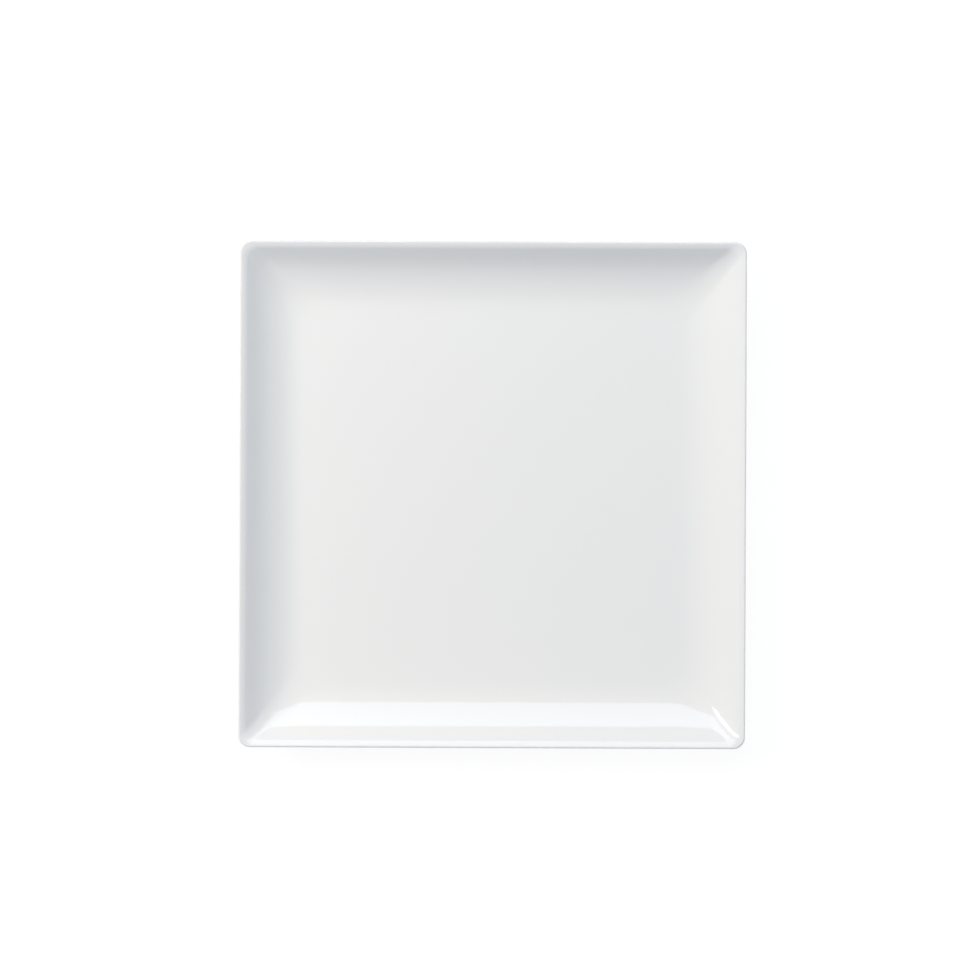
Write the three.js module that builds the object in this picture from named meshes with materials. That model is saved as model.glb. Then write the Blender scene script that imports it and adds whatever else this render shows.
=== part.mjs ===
// Square porcelain plate with upswept sides: a pressed and fired body, and the glaze fused on to it.
// Millimetres, +Z up. The origin is on the table, under the middle of the plate.
//
// The section is drawn once, from the edge of the well out over the rim and back under to the base.
// Each of its points is then spread round the plate as a square ring with rounded corners, and
// neighbouring rings are skinned. The glaze is the same section moved out along its normals.

import * as THREE from "three";

// Plan of the plate
const SIDE = 260; // across the finished rim, from side to side
const RIM_CORNER_RADIUS = 5.8; // of the body, at the rim
const WELL_CORNER_RADIUS = 12; // of the body, where the wall leaves the well

// Section of the wall and rim
const WALL_RADIUS = 35.5; // hollow sweep from the well up the wall
const WALL_SLOPE = 45; // degrees, of the straight flank, where the wall is steepest
const WALL_FLANK = 4.4; // length of the straight flank between the sweep and the lip
const LIP_RADIUS = 7.2; // roll outwards at the top of the wall
const LIP_SLOPE = 15; // degrees, the inward fall that is left where the lip ends
const EDGE_RADIUS = 0.25; // round on both edges of the rim
const RIM_THICKNESS = 2;
const FLOOR_THICKNESS = 4.5;

// Foot ring under the well
const FOOT_HEIGHT = 2.5; // from the table to the underside of the floor
const FOOT_WIDTH = 5;
const FOOT_INSET = 10; // from the edge of the well in to the outside of the foot
const FOOT_CORNER_RADIUS = 18; // in plan, outside
const FOOT_EDGE_RADIUS = 0.8; // round between the sides and the bearing face
const FOOT_FILLET = 1.2; // hollow between the sides and the underside of the floor

// Glaze, which stops where the foot begins to round under, so that the bearing face is bare
const GLAZE_THICKNESS = 0.3;

// Fineness: flat steps in each round stretch
const CORNER_STEPS = 8;
const WALL_STEPS = 9;
const LIP_STEPS = 6;
const EDGE_STEPS = 6;
const FOOT_STEPS = 3;

const { clamp, degToRad, lerp } = THREE.MathUtils;

// Places in the section that follow from the sizes above. u runs from the middle of the plate to a side.
const wallSlope = degToRad(WALL_SLOPE);
const lipSlope = degToRad(LIP_SLOPE);
const bodyHalf = SIDE / 2 - GLAZE_THICKNESS;
const sweepRun = WALL_RADIUS * Math.sin(wallSlope);
const flankRun = WALL_FLANK * Math.cos(wallSlope);
const lipRun = LIP_RADIUS * (Math.sin(wallSlope) - Math.sin(lipSlope));
const edgeRun = EDGE_RADIUS + (RIM_THICKNESS - EDGE_RADIUS) * Math.sin(lipSlope);
const wellHalf = bodyHalf - edgeRun - lipRun - flankRun - sweepRun;
const floorTop = FOOT_HEIGHT + FLOOR_THICKNESS;
const footHalf = wellHalf - FOOT_INSET;
const footInner = footHalf - FOOT_WIDTH;

// Points along an arc of the section, each with its outward normal. The side is 1 where the body bulges,
// so that the normal points away from the centre, and -1 in a hollow.
function arc(centre, radius, from, to, steps, side) {
  return Array.from({ length: steps + 1 }, (_, i) => {
    const angle = degToRad(lerp(from, to, i / steps));
    const normal = new THREE.Vector2(Math.cos(angle), Math.sin(angle));
    const at = centre.clone().addScaledVector(normal, radius);
    return { at, normal: normal.multiplyScalar(side) };
  });
}

// The point that lies a distance along another point's normal
const along = ({ at, normal }, distance) => at.clone().addScaledVector(normal, distance);

// Eating face: the hollow sweep up from the well, the straight flank, then the lip rolling outwards
function drawFace() {
  const sweepCentre = new THREE.Vector2(wellHalf, floorTop + WALL_RADIUS);
  const sweep = arc(sweepCentre, WALL_RADIUS, -90, WALL_SLOPE - 90, WALL_STEPS, -1);
  const { at, normal } = sweep.at(-1);
  const flankEnd = new THREE.Vector2(at.x + flankRun, at.y + WALL_FLANK * Math.sin(wallSlope));
  const lipCentre = flankEnd.addScaledVector(normal, -LIP_RADIUS);
  return [...sweep, ...arc(lipCentre, LIP_RADIUS, 90 + WALL_SLOPE, 90 + LIP_SLOPE, LIP_STEPS, 1)];
}

// Outside of the wall: the face again, set back by a thickness that tapers from the floor to the rim
function drawOutside(face) {
  const lengths = face.map((point, i) => (i ? point.at.distanceTo(face[i - 1].at) : 0));
  const total = lengths.reduce((sum, length) => sum + length);
  let gone = 0;
  const outside = face.map((point, i) => {
    gone += lengths[i];
    const thickness = lerp(FLOOR_THICKNESS, RIM_THICKNESS, gone / total);
    return { at: along(point, -thickness), normal: point.normal.clone().negate() };
  });
  return outside.reverse();
}

// Edge of the rim: a round at the end of the face and another at the start of the outside
function drawEdge(faceEnd, outsideStart) {
  const radius = Math.min(EDGE_RADIUS, RIM_THICKNESS / 2);
  const upper = arc(along(faceEnd, -radius), radius, 90 + LIP_SLOPE, LIP_SLOPE, EDGE_STEPS, 1);
  const lower = arc(along(outsideStart, -radius), radius, LIP_SLOPE, LIP_SLOPE - 90, EDGE_STEPS, 1);
  return [...upper.slice(1), ...lower.slice(0, -1)];
}

// Foot ring, in the three stretches that the glaze line divides: outer side, bearing face, inner side
function drawFoot() {
  const round = Math.min(FOOT_EDGE_RADIUS, FOOT_WIDTH / 2);
  const filletZ = FOOT_HEIGHT - FOOT_FILLET;
  const outerFilletCentre = new THREE.Vector2(footHalf + FOOT_FILLET, filletZ);
  const innerFilletCentre = new THREE.Vector2(footInner - FOOT_FILLET, filletZ);
  const outerRoundCentre = new THREE.Vector2(footHalf - round, round);
  const innerRoundCentre = new THREE.Vector2(footInner + round, round);
  const outerRound = arc(outerRoundCentre, round, 0, -90, FOOT_STEPS, 1);
  const innerRound = arc(innerRoundCentre, round, -90, -180, FOOT_STEPS, 1);
  return {
    outer: [...arc(outerFilletCentre, FOOT_FILLET, 90, 180, FOOT_STEPS, -1), outerRound[0]],
    bearing: [...outerRound, ...innerRound],
    inner: [innerRound.at(-1), ...arc(innerFilletCentre, FOOT_FILLET, 0, 90, FOOT_STEPS, -1)],
  };
}

// Corner radius in plan: tight at the rim and opening towards the well, and concentric round the foot
function wallCorner(u) {
  const share = clamp((u - wellHalf) / (bodyHalf - wellHalf), 0, 1);
  return lerp(WELL_CORNER_RADIUS, RIM_CORNER_RADIUS, share);
}
const footCorner = (u) => FOOT_CORNER_RADIUS + u - footHalf;
const withCorner = (points, corner) =>
  points.map((point) => ({ ...point, corner: corner(point.at.x) }));

// A section point spread round the plate, counter-clockwise from above, after moving it out by an offset
function ring({ at, normal, corner }, offset) {
  const half = at.x + offset * normal.x;
  const radius = corner + offset * normal.x;
  const z = at.y + offset * normal.y;
  const points = [];
  for (let quarter = 0; quarter < 4; quarter++) {
    const diagonal = degToRad(45 + 90 * quarter);
    const centreX = Math.sign(Math.cos(diagonal)) * (half - radius);
    const centreY = Math.sign(Math.sin(diagonal)) * (half - radius);
    for (let step = 0; step <= CORNER_STEPS; step++) {
      const angle = degToRad(90 * (quarter + step / CORNER_STEPS));
      points.push([centreX + radius * Math.cos(angle), centreY + radius * Math.sin(angle), z]);
    }
  }
  return points;
}
const rings = (points, offset) => points.map((point) => ring(point, offset));

// Triangles collected as corner points. A turned surface has its faces round the other way and its
// diagonals in the same place, so that it lies against the unturned one without a gap.
class Surface {
  triangles = [];

  add(a, b, c, turned) {
    this.triangles.push(...(turned ? [a, c, b] : [a, b, c]));
  }

  skin(loops, turned = false) {
    for (let i = 0; i + 1 < loops.length; i++) {
      const [inner, outer] = [loops[i], loops[i + 1]];
      inner.forEach((point, j) => {
        const next = (j + 1) % inner.length;
        this.add(point, outer[j], outer[next], turned);
        this.add(point, outer[next], inner[next], turned);
      });
    }
    return this;
  }

  cap(loop, turned = false) {
    const middle = [0, 0, loop[0][2]];
    loop.forEach((point, j) => this.add(middle, point, loop[(j + 1) % loop.length], turned));
    return this;
  }

  geometry() {
    const made = new THREE.BufferGeometry();
    made.setAttribute("position", new THREE.Float32BufferAttribute(this.triangles.flat(), 3));
    made.computeVertexNormals();
    return made;
  }
}

// The three stretches of the section
const face = drawFace();
const outside = drawOutside(face);
const foot = drawFoot();
const glazedFace = [
  ...withCorner([...face, ...drawEdge(face.at(-1), outside[0]), ...outside], wallCorner),
  ...withCorner(foot.outer, footCorner),
];
const bareBearing = withCorner(foot.bearing, footCorner);
const glazedBase = withCorner(foot.inner, footCorner);

// Fired body: the whole section, closed across the well and across the base
function porcelainBody() {
  const loops = rings([...glazedFace, ...bareBearing.slice(1), ...glazedBase.slice(1)], 0);
  return new Surface().cap(loops[0]).skin(loops).cap(loops.at(-1), true).geometry();
}

// Glaze over the well, wall, rim and outside, down to the foot's bearing face
function faceGlaze() {
  const outer = rings(glazedFace, GLAZE_THICKNESS);
  const inner = rings(glazedFace, 0);
  return new Surface()
    .cap(outer[0])
    .skin(outer)
    .skin([outer.at(-1), inner.at(-1)])
    .skin(inner, true)
    .cap(inner[0], true)
    .geometry();
}

// Glaze over the base, inside the foot ring
function baseGlaze() {
  const outer = rings(glazedBase, GLAZE_THICKNESS);
  const inner = rings(glazedBase, 0);
  return new Surface()
    .skin([inner[0], outer[0]])
    .skin(outer)
    .cap(outer.at(-1), true)
    .skin(inner, true)
    .cap(inner.at(-1))
    .geometry();
}

const biscuit = new THREE.MeshStandardMaterial({ color: 0xe9e6de, roughness: 0.85, metalness: 0 });
const glaze = new THREE.MeshStandardMaterial({ color: 0xeeefee, roughness: 0.08, metalness: 0 });

const plate = new THREE.Group();
for (const [name, geometry, material] of [
  ["porcelain_body", porcelainBody(), biscuit],
  ["face_glaze", faceGlaze(), glaze],
  ["base_glaze", baseGlaze(), glaze],
]) {
  const piece = new THREE.Mesh(geometry, material);
  piece.name = name;
  plate.add(piece);
}

export default plate;
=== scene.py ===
"""Square porcelain plate: fine meshes for the fired body and its glaze, their finishes, and a studio.

Metres, +Z up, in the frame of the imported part. The section is drawn once, from the middle of the well
out over the rim and back under to the middle of the base, and each of its points is spread round the
plate as a square ring with rounded corners.
"""

import math
from collections import namedtuple

import bpy
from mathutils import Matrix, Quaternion, Vector


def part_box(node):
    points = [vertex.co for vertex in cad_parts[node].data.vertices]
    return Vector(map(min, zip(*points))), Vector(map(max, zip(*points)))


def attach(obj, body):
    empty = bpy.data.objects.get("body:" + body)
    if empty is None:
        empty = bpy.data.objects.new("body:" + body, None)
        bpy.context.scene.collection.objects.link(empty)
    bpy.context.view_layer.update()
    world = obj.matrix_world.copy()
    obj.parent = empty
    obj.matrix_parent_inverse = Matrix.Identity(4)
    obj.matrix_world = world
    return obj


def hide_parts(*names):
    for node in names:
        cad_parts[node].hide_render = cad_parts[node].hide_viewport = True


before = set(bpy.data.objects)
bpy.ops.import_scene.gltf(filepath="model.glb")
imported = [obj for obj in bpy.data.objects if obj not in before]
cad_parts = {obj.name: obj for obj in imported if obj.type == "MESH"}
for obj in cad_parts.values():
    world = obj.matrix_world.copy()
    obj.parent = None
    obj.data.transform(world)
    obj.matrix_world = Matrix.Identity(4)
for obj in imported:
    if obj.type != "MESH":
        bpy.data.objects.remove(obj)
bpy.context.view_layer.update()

MM = 0.001

# Section of the wall, rim and foot, as in the part
WALL_RADIUS = 35.5 * MM
WALL_SLOPE = 45  # degrees
WALL_FLANK = 4.4 * MM
LIP_RADIUS = 7.2 * MM
LIP_SLOPE = 15  # degrees
EDGE_RADIUS = 0.25 * MM
RIM_THICKNESS = 2 * MM
FLOOR_THICKNESS = 4.5 * MM
FOOT_WIDTH = 5 * MM
FOOT_FILLET = 1.2 * MM

# Corner radii in plan, as in the part
RIM_CORNER_RADIUS = 5.8 * MM
WELL_CORNER_RADIUS = 12 * MM
FOOT_CORNER_RADIUS = 18 * MM

# Fineness of the meshes
FLAT_RINGS = 8
WALL_STEPS = 29
LIP_STEPS = 16
EDGE_STEPS = 8
FOOT_STEPS = 6
BEAD_STEPS = 5
CORNER_STEPS = 14
SIDE_STEPS = 16
MIDDLE_SHARE = 0.04  # size of the innermost ring, as a share of the flat that it lies in

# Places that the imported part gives
face_low, face_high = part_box("face_glaze")
_, base_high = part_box("base_glaze")
_, body_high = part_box("porcelain_body")
glaze_thickness = face_high.x - body_high.x
glaze_line = face_low.z
foot_height = base_high.z
foot_inner = base_high.x
foot_half = foot_inner + FOOT_WIDTH
floor_top = foot_height + FLOOR_THICKNESS
rim_height = face_high.z

# Where the wall leaves the well
wall_slope = math.radians(WALL_SLOPE)
lip_sine = math.sin(math.radians(LIP_SLOPE))
edge_run = EDGE_RADIUS + (RIM_THICKNESS - EDGE_RADIUS) * lip_sine
lip_run = LIP_RADIUS * (math.sin(wall_slope) - lip_sine)
flank_run = WALL_FLANK * math.cos(wall_slope)
sweep_run = WALL_RADIUS * math.sin(wall_slope)
well_half = body_high.x - edge_run - lip_run - flank_run - sweep_run

# A point of the section: its place and outward normal as (distance from the middle, height), the corner
# radius of its ring in plan, and how its curve draws the glaze, from -1 on a sharp edge to 1 in a hollow
Station = namedtuple("Station", "at normal corner bend")

BEND_LENGTH = 2 * MM  # curves tighter than this gather or shed most of the glaze
SLOPE_SHADE = 2.5  # painted cool shade that a sloped or upright face gets, weighed against the thin glaze of a sharp edge


def wall_corner(distance):
    share = (distance - well_half) / (body_high.x - well_half)
    share = min(max(share, 0), 1)
    return WELL_CORNER_RADIUS + (RIM_CORNER_RADIUS - WELL_CORNER_RADIUS) * share


def foot_corner(distance):
    return FOOT_CORNER_RADIUS + distance - foot_half


def arc(centre, radius, start, end, steps, side, corner):
    """Stations along an arc. The side is 1 where the body bulges and -1 in a hollow."""
    bend = -side * BEND_LENGTH / (BEND_LENGTH + radius)
    stations = []
    for i in range(steps + 1):
        angle = math.radians(start + (end - start) * i / steps)
        out = Vector((math.cos(angle), math.sin(angle)))
        at = centre + radius * out
        stations.append(Station(at, side * out, corner(at.x), bend))
    return stations


def flat(half, height, up, corner):
    """Stations from near the middle of a flat square out to its edge."""
    stations = []
    for i in range(FLAT_RINGS):
        share = MIDDLE_SHARE + (1 - MIDDLE_SHARE) * i / FLAT_RINGS
        at = Vector((half * share, height))
        stations.append(Station(at, Vector((0, up)), corner * share, 0))
    return stations


def draw_face():
    """The hollow sweep up from the well, a straight flank, then the lip rolling outwards."""
    sweep_centre = Vector((well_half, floor_top + WALL_RADIUS))
    sweep = arc(sweep_centre, WALL_RADIUS, -90, WALL_SLOPE - 90, WALL_STEPS, -1, wall_corner)
    flank = WALL_FLANK * Vector((math.cos(wall_slope), math.sin(wall_slope)))
    lip_centre = sweep[-1].at + flank - LIP_RADIUS * sweep[-1].normal
    lip = arc(lip_centre, LIP_RADIUS, 90 + WALL_SLOPE, 90 + LIP_SLOPE, LIP_STEPS, 1, wall_corner)
    return sweep + lip


def draw_outside(face):
    """The face set back by a thickness that tapers from the floor to the rim, from the rim inwards."""
    gone = [0]
    for before, after in zip(face, face[1:]):
        gone.append(gone[-1] + (after.at - before.at).length)
    outside = []
    for station, length in zip(face, gone):
        thickness = FLOOR_THICKNESS + (RIM_THICKNESS - FLOOR_THICKNESS) * length / gone[-1]
        at = station.at - thickness * station.normal
        outside.append(Station(at, -station.normal, wall_corner(at.x), -station.bend))
    return outside[::-1]


def draw_edge(face_end, outside_start):
    """The two rounds of the rim's edge."""
    upper_centre = face_end.at - EDGE_RADIUS * face_end.normal
    lower_centre = outside_start.at - EDGE_RADIUS * outside_start.normal
    upper = arc(upper_centre, EDGE_RADIUS, 90 + LIP_SLOPE, LIP_SLOPE, EDGE_STEPS, 1, wall_corner)
    lower = arc(lower_centre, EDGE_RADIUS, LIP_SLOPE, LIP_SLOPE - 90, EDGE_STEPS, 1, wall_corner)
    return upper[1:] + lower[:-1]


def draw_foot():
    """The foot's outer side, bearing face and inner side, divided at the glaze line."""
    fillet_z = foot_height - FOOT_FILLET
    outer_fillet_centre = Vector((foot_half + FOOT_FILLET, fillet_z))
    inner_fillet_centre = Vector((foot_inner - FOOT_FILLET, fillet_z))
    outer_round_centre = Vector((foot_half - glaze_line, glaze_line))
    inner_round_centre = Vector((foot_inner + glaze_line, glaze_line))
    outer = arc(outer_fillet_centre, FOOT_FILLET, 90, 180, FOOT_STEPS, -1, foot_corner)
    inner = arc(inner_fillet_centre, FOOT_FILLET, 0, 90, FOOT_STEPS, -1, foot_corner)
    outer_round = arc(outer_round_centre, glaze_line, 0, -90, FOOT_STEPS, 1, foot_corner)
    inner_round = arc(inner_round_centre, glaze_line, -90, -180, FOOT_STEPS, 1, foot_corner)
    return outer, outer_round + inner_round, inner


def bead(station):
    """The rounded end of a glaze field, on a foot side just above the glaze line."""
    stations = []
    for i in range(BEAD_STEPS + 1):
        angle = math.pi / 2 * i / BEAD_STEPS
        at = station.at + Vector((0, glaze_thickness * (1 - math.sin(angle))))
        stations.append((station._replace(at=at), glaze_thickness * math.cos(angle)))
    return stations


def glaze_depth_and_shade(station):
    """How the glaze lies: 0 where it is even, less where it runs thin and more where it pools, and lower
    still on sloped faces, which paints cool shade on the walls.
    """
    return station.bend - SLOPE_SHADE * (1 - abs(station.normal.y))


def ring(station, offset):
    """A station spread round the plate, counter-clockwise from above, moved out by an offset."""
    half = station.at.x + offset * station.normal.x
    radius = station.corner + offset * station.normal.x
    height = station.at.y + offset * station.normal.y
    straight = 2 * (half - radius)
    points = []
    for quarter in range(4):
        turn = math.pi / 2 * quarter
        along = Vector((-math.sin(turn), math.cos(turn)))
        across = Vector((math.cos(turn), math.sin(turn)))
        for i in range(SIDE_STEPS):
            points.append(half * across + straight * (i / SIDE_STEPS - 0.5) * along)
        centre = (half - radius) * (across + along)
        for i in range(CORNER_STEPS):
            angle = math.pi / 2 * i / CORNER_STEPS
            points.append(centre + radius * (math.cos(angle) * across + math.sin(angle) * along))
    return [(*point, height) for point in points]


def loft(name, chain, material, node):
    """A closed smooth mesh over a chain of stations and offsets, capped at both ends."""
    vertices, faces, depths_and_shade = [], [], []
    for station, offset in chain:
        points = ring(station, offset)
        vertices += points
        depths_and_shade += [glaze_depth_and_shade(station)] * len(points)
    count = len(vertices) // len(chain)
    for i in range(len(chain) - 1):
        inner, outer = i * count, (i + 1) * count
        for j in range(count):
            after = (j + 1) % count
            faces.append((inner + j, outer + j, outer + after, inner + after))
    faces.append(range(count))
    faces.append(range(len(vertices) - 1, len(vertices) - count - 1, -1))
    mesh = bpy.data.meshes.new(name)
    mesh.from_pydata(vertices, [], faces)
    mesh.shade_smooth()
    # per vertex: the glaze's depth, lowered on sloped faces as painted cool shade
    mesh.attributes.new("glaze_depth_and_shade", "FLOAT", "POINT").data.foreach_set("value", depths_and_shade)
    mesh.materials.append(material)
    piece = bpy.data.objects.new(name, mesh)
    bpy.context.scene.collection.objects.link(piece)
    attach(piece, "root")
    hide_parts(node)


def add_node(tree, kind, inputs=(), **settings):
    """A new node with its settings, and its inputs set to values or linked from other nodes' outputs."""
    made = tree.nodes.new(kind)
    for name, value in settings.items():
        setattr(made, name, value)
    for name, value in dict(inputs).items():
        if isinstance(value, bpy.types.NodeSocket):
            tree.links.new(value, made.inputs[name])
        else:
            made.inputs[name].default_value = value
    return made


def noise(tree, place, scale, detail):
    inputs = {"Vector": place, "Scale": scale, "Detail": detail}
    return add_node(tree, "ShaderNodeTexNoise", inputs).outputs["Fac"]


def remap(tree, value, source, target):
    """A value carried from one range to another and held at its ends."""
    inputs = {"Value": value, "From Min": source[0], "From Max": source[1],
              "To Min": target[0], "To Max": target[1]}
    return add_node(tree, "ShaderNodeMapRange", inputs).outputs["Result"]


def combine(tree, operation, first, second):
    return add_node(tree, "ShaderNodeMath", {0: first, 1: second}, operation=operation).outputs[0]


def ramp(tree, share, stops):
    """A colour that runs through two or more stops of position and colour."""
    made = add_node(tree, "ShaderNodeValToRGB", {"Fac": share})
    elements = made.color_ramp.elements
    for element, (position, colour) in zip(elements, (stops[0], stops[-1])):
        element.position = position
        element.color = colour
    for position, colour in stops[1:-1]:
        elements.new(position).color = colour
    return made.outputs["Color"]


def mix_colours(tree, share, first, second, blend_type="MIX"):
    made = add_node(tree, "ShaderNodeMix", {"Factor": share, "A": first, "B": second},
                    data_type="RGBA", blend_type=blend_type)
    return made.outputs["Result"]


def new_material(name):
    """A material with a plain Principled surface, its node tree and that surface."""
    material = bpy.data.materials.new(name)
    material.use_nodes = True
    tree = material.node_tree
    return material, tree, tree.nodes["Principled BSDF"]


def finish_surface(tree, surface, colour, roughness, bump):
    tree.links.new(colour, surface.inputs["Base Color"])
    tree.links.new(roughness, surface.inputs["Roughness"])
    tree.links.new(bump.outputs["Normal"], surface.inputs["Normal"])


# Glaze
# thin glaze on sharp edges, and the painted cool shade of the sloped walls
GLAZE_THIN_AND_SHADE = (0.824, 0.833, 0.834, 1)
GLAZE_EVEN = (0.835, 0.835, 0.82, 1)
GLAZE_THICK = (0.815, 0.83, 0.835, 1)
GLAZE_IOR = 1.52
GLAZE_ROUGHNESS = (0.012, 0.03)
CLOUD_SCALE = 14  # slow changes of depth and gloss
CLOUD_VALUES = (0.3, 0.7)  # of the noise, at the ends of those changes
CLOUD_DEPTH = 0.12
PEEL_SCALE = 210  # faint orange peel
PEEL_HEIGHT = 0.002 * MM
WAVE_SCALE = 14  # and slow waves under it
WAVE_HEIGHT = 0.06 * MM


def glaze_material():
    """Clear glaze on white porcelain: creamy where it lies even, cooler where it pools or thins, and
    painted cooler on sloped walls as shade.
    """
    material, tree, surface = new_material("glaze")
    place = add_node(tree, "ShaderNodeTexCoord").outputs["Object"]
    # the glaze's depth, with the painted cool shade of sloped faces in it
    laid_and_shaded = add_node(tree, "ShaderNodeAttribute", attribute_name="glaze_depth_and_shade").outputs["Fac"]
    cloud = noise(tree, place, CLOUD_SCALE, detail=3)
    depth_and_shade = combine(tree, "ADD", laid_and_shaded, remap(tree, cloud, CLOUD_VALUES, (-CLOUD_DEPTH, CLOUD_DEPTH)))
    colour = ramp(tree, remap(tree, depth_and_shade, (-1, 1), (0, 1)),
                  [(0, GLAZE_THIN_AND_SHADE), (0.5, GLAZE_EVEN), (1, GLAZE_THICK)])
    peel = noise(tree, place, PEEL_SCALE, detail=1)
    wave = noise(tree, place, WAVE_SCALE, detail=1)
    peel_bump = add_node(tree, "ShaderNodeBump", {"Height": peel, "Distance": PEEL_HEIGHT})
    bump = add_node(tree, "ShaderNodeBump", {
        "Height": wave, "Distance": WAVE_HEIGHT, "Normal": peel_bump.outputs["Normal"]})
    finish_surface(tree, surface, colour, remap(tree, cloud, CLOUD_VALUES, GLAZE_ROUGHNESS), bump)
    surface.inputs["IOR"].default_value = GLAZE_IOR
    return material


# Biscuit
CLAY_DARK = (0.66, 0.63, 0.57, 1)
CLAY_LIGHT = (0.8, 0.78, 0.73, 1)
CLAY_WORN = (0.62, 0.6, 0.56, 1)
BISCUIT_ROUGHNESS = (0.9, 0.62)  # untouched and worn
GRIT_SCALE = 2600
GRIT_VALUES = (0.3, 0.55)  # of the noise, where the clay is dark and where it is light
GRIT_HEIGHT = 0.08 * MM
WEAR_SCALE = 60
WEAR_HEIGHTS = (0.02 * MM, 0.25 * MM)  # above the table, where wear is full and where it ends


def biscuit_material():
    """Bare fired porcelain: matte and slightly gritty, rubbed grey where it stands on the table."""
    material, tree, surface = new_material("biscuit")
    place = add_node(tree, "ShaderNodeTexCoord").outputs["Object"]
    grit = noise(tree, place, GRIT_SCALE, detail=4)
    patch = noise(tree, place, WEAR_SCALE, detail=5)
    height = add_node(tree, "ShaderNodeSeparateXYZ", {"Vector": place}).outputs["Z"]
    worn = combine(tree, "MULTIPLY", remap(tree, height, WEAR_HEIGHTS, (1, 0)), patch)
    clay = ramp(tree, grit, list(zip(GRIT_VALUES, (CLAY_DARK, CLAY_LIGHT))))
    bump = add_node(tree, "ShaderNodeBump", {"Height": grit, "Distance": GRIT_HEIGHT})
    finish_surface(tree, surface, mix_colours(tree, worn, clay, CLAY_WORN),
                   remap(tree, worn, (0, 1), BISCUIT_ROUGHNESS), bump)
    return material


def build_plate():
    face = draw_face()
    outside = draw_outside(face)
    foot_outer, bearing, foot_inner_side = draw_foot()
    well = flat(well_half, floor_top, 1, WELL_CORNER_RADIUS)
    base_half = foot_inner - FOOT_FILLET
    base = flat(base_half, foot_height, -1, foot_corner(base_half))[::-1]
    over = well + face + draw_edge(face[-1], outside[0]) + outside + foot_outer
    under = foot_inner_side + base
    glaze, biscuit = glaze_material(), biscuit_material()

    body = [(station, 0) for station in over + bearing + under]
    loft("plate_body", body, biscuit, "porcelain_body")

    face_field = [(station, glaze_thickness) for station in over] + bead(bearing[0])
    face_back = [(station, 0) for station in over[::-1]]
    loft("plate_face_glaze", face_field + face_back, glaze, "face_glaze")

    base_back = [(station, 0) for station in under[::-1]]
    base_field = bead(bearing[-1])[::-1] + [(station, glaze_thickness) for station in under]
    loft("plate_base_glaze", base_back + base_field, glaze, "base_glaze")


# Studio
WHITE = (1, 1, 1, 1)
BLACK = (0, 0, 0, 1)
FLOOR_SIZE = 8
FLOOR_GLOW = 0.9  # of white, to what looks at the floor; its lit colour adds the rest and the shadow
FLOOR_FADE = (0.4, 2)  # distances from the plate between which the glow rises to white
FLOOR_LIT = (0.15, 0.15, 0.15, 1)
FLOOR_BOUNCE = (0.9, 0.9, 0.9, 1)

WORLD_FRONT = (0, 0.094, 0.223, 1)  # light that fades from the front to the back
WORLD_TOP = (0.35, 0.273, 0.176, 1)  # and from straight above to straight below


def seen_directly(tree):
    """1 for rays from the camera and for those that a gloss or a glass sends on, 0 for the rest."""
    path = add_node(tree, "ShaderNodeLightPath").outputs
    camera_or_gloss = combine(tree, "MAXIMUM", path["Is Camera Ray"], path["Is Glossy Ray"])
    return combine(tree, "MAXIMUM", camera_or_gloss, path["Is Transmission Ray"])


def mix_shaders(tree, share, first, second, output):
    """Shows the second shader by a share, and the first for the rest, at the tree's output."""
    inputs = {0: share, 1: first.outputs[0], 2: second.outputs[0]}
    mix = add_node(tree, "ShaderNodeMixShader", inputs)
    tree.links.new(mix.outputs[0], tree.nodes[output].inputs["Surface"])


def build_floor():
    half = FLOOR_SIZE / 2
    corners = [(-half, -half, 0), (half, -half, 0), (half, half, 0), (-half, half, 0)]
    mesh = bpy.data.meshes.new("floor")
    mesh.from_pydata(corners, [], [range(len(corners))])
    material, tree, surface = new_material("floor")
    tree.nodes.remove(surface)
    bounce = add_node(tree, "ShaderNodeBsdfDiffuse", {"Color": FLOOR_BOUNCE})
    lit = add_node(tree, "ShaderNodeBsdfDiffuse", {"Color": FLOOR_LIT})
    place = add_node(tree, "ShaderNodeTexCoord").outputs["Object"]
    distance = add_node(tree, "ShaderNodeVectorMath", {0: place}, operation="LENGTH").outputs["Value"]
    glow_level = remap(tree, distance, FLOOR_FADE, (FLOOR_GLOW, 1))
    glow = add_node(tree, "ShaderNodeEmission", {"Strength": glow_level})
    shown = add_node(tree, "ShaderNodeAddShader", {0: lit.outputs[0], 1: glow.outputs[0]})
    mix_shaders(tree, seen_directly(tree), bounce, shown, "Material Output")
    mesh.materials.append(material)
    floor = bpy.data.objects.new("floor", mesh)
    bpy.context.scene.collection.objects.link(floor)


def build_world():
    """Coloured light on the plate, and plain white to what looks at the background."""
    world = bpy.data.worlds.new("studio")
    world.use_nodes = True
    tree = world.node_tree
    direction = add_node(tree, "ShaderNodeTexCoord").outputs["Generated"]
    part = add_node(tree, "ShaderNodeSeparateXYZ", {"Vector": direction}).outputs
    front_share = remap(tree, part["Y"], (1, -1), (0, 1))
    top_share = remap(tree, part["Z"], (-1, 1), (0, 1))
    front_light = mix_colours(tree, front_share, BLACK, WORLD_FRONT)
    sum_light = mix_colours(tree, top_share, front_light, WORLD_TOP, blend_type="ADD")
    light = add_node(tree, "ShaderNodeBackground", {"Color": sum_light})
    white = add_node(tree, "ShaderNodeBackground", {"Color": WHITE})
    mix_shaders(tree, seen_directly(tree), light, white, "World Output")
    bpy.context.scene.world = world


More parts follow.
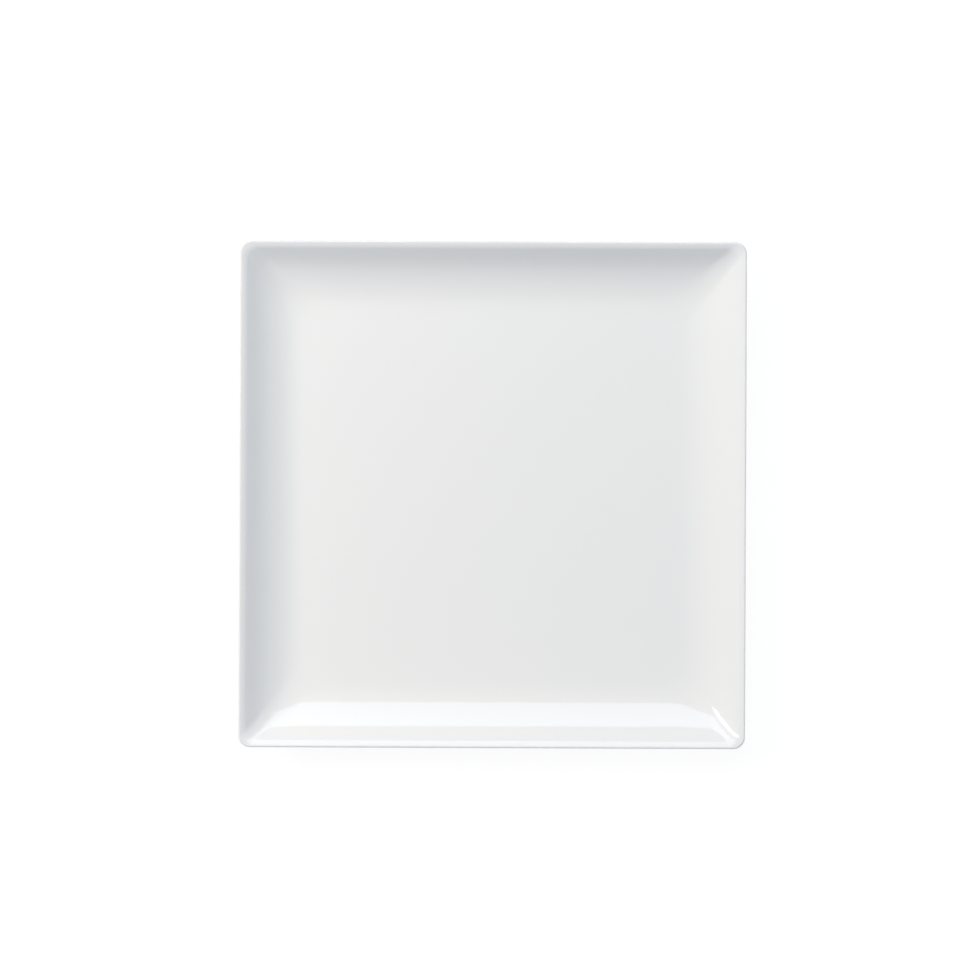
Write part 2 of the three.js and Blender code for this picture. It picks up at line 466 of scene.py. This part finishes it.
def area_light(name, azimuth, elevation, distance, width, height, radiance, lean=0,
               shape="RECTANGLE", mirrored=True):
    """A softbox that faces the plate and leans about the line to it, with the angles in degrees.

    The azimuth is counter-clockwise from +X. A lamp that isn't mirrored lights the glaze without
    showing in it.
    """
    data = bpy.data.lights.new(name, "AREA")
    data.shape = shape
    data.size, data.size_y = width, height
    level = max(radiance)
    data.color = [part / level for part in radiance]
    area = width * height * (math.pi / 4 if shape == "ELLIPSE" else 1)
    data.energy = 4 * area * level  # the radiance of such a lamp is a quarter of its energy by area
    light = bpy.data.objects.new(name, data)
    turn, rise = math.radians(azimuth), math.radians(elevation)
    reach = math.cos(rise)
    towards = Vector((math.cos(turn) * reach, math.sin(turn) * reach, math.sin(rise)))
    light.location = Vector((0, 0, rim_height)) + distance * towards
    facing = towards.to_track_quat("Z", "Y") @ Quaternion((0, 0, 1), math.radians(lean))
    light.rotation_euler = facing.to_euler()
    light.visible_glossy = mirrored
    bpy.context.scene.collection.objects.link(light)


def build_lamps():
    """The softbox behind shows as the band on the front wall, and the strip as the streak beside it."""
    area_light("back_softbox", azimuth=95, elevation=41.3, distance=2.4, width=2.2, height=1.95,
               radiance=(1.38, 1.59, 1.92), lean=-7)
    area_light("left_strip", azimuth=154, elevation=37, distance=3, width=0.88, height=1.95,
               radiance=(4, 3.85, 3.5), lean=-20, shape="ELLIPSE")
    area_light("left_key", azimuth=165, elevation=42, distance=1.2, width=0.5, height=0.5,
               radiance=(4.74, 4.14, 3.44), mirrored=False)
    area_light("front_fill", azimuth=270, elevation=48, distance=2.4, width=2.6, height=1.85,
               radiance=(0.248, 0.343, 0.467))
    area_light("right_fill", azimuth=0, elevation=25, distance=2.4, width=2.6, height=1.85,
               radiance=(0.345, 0.357, 0.334))


# Camera, straight above, from the plate's place in the photograph
IMAGE_SIZE = 980  # pixels each way
PLATE_PIXELS = 508  # side of the plate
PLATE_CENTRE = (492.5, 494.6)  # pixels from the left and the top
CAMERA_HEIGHT = 1.4  # above the rim
CAMERA_ROLL = 0.24  # degrees
SENSOR_WIDTH = 36  # millimetres


def build_camera():
    pixel = 2 * face_high.x / PLATE_PIXELS
    data = bpy.data.cameras.new("camera")
    data.sensor_width = SENSOR_WIDTH
    data.lens = SENSOR_WIDTH * CAMERA_HEIGHT / (IMAGE_SIZE * pixel)
    camera = bpy.data.objects.new("camera", data)
    right = (IMAGE_SIZE / 2 - PLATE_CENTRE[0]) * pixel
    up = (PLATE_CENTRE[1] - IMAGE_SIZE / 2) * pixel
    camera.location = (right, up, rim_height + CAMERA_HEIGHT)
    camera.rotation_euler = (0, 0, math.radians(CAMERA_ROLL))
    bpy.context.scene.collection.objects.link(camera)
    bpy.context.scene.camera = camera


build_plate()
build_floor()
build_world()
build_lamps()
build_camera()
bpy.context.scene.view_settings.view_transform = "Standard"
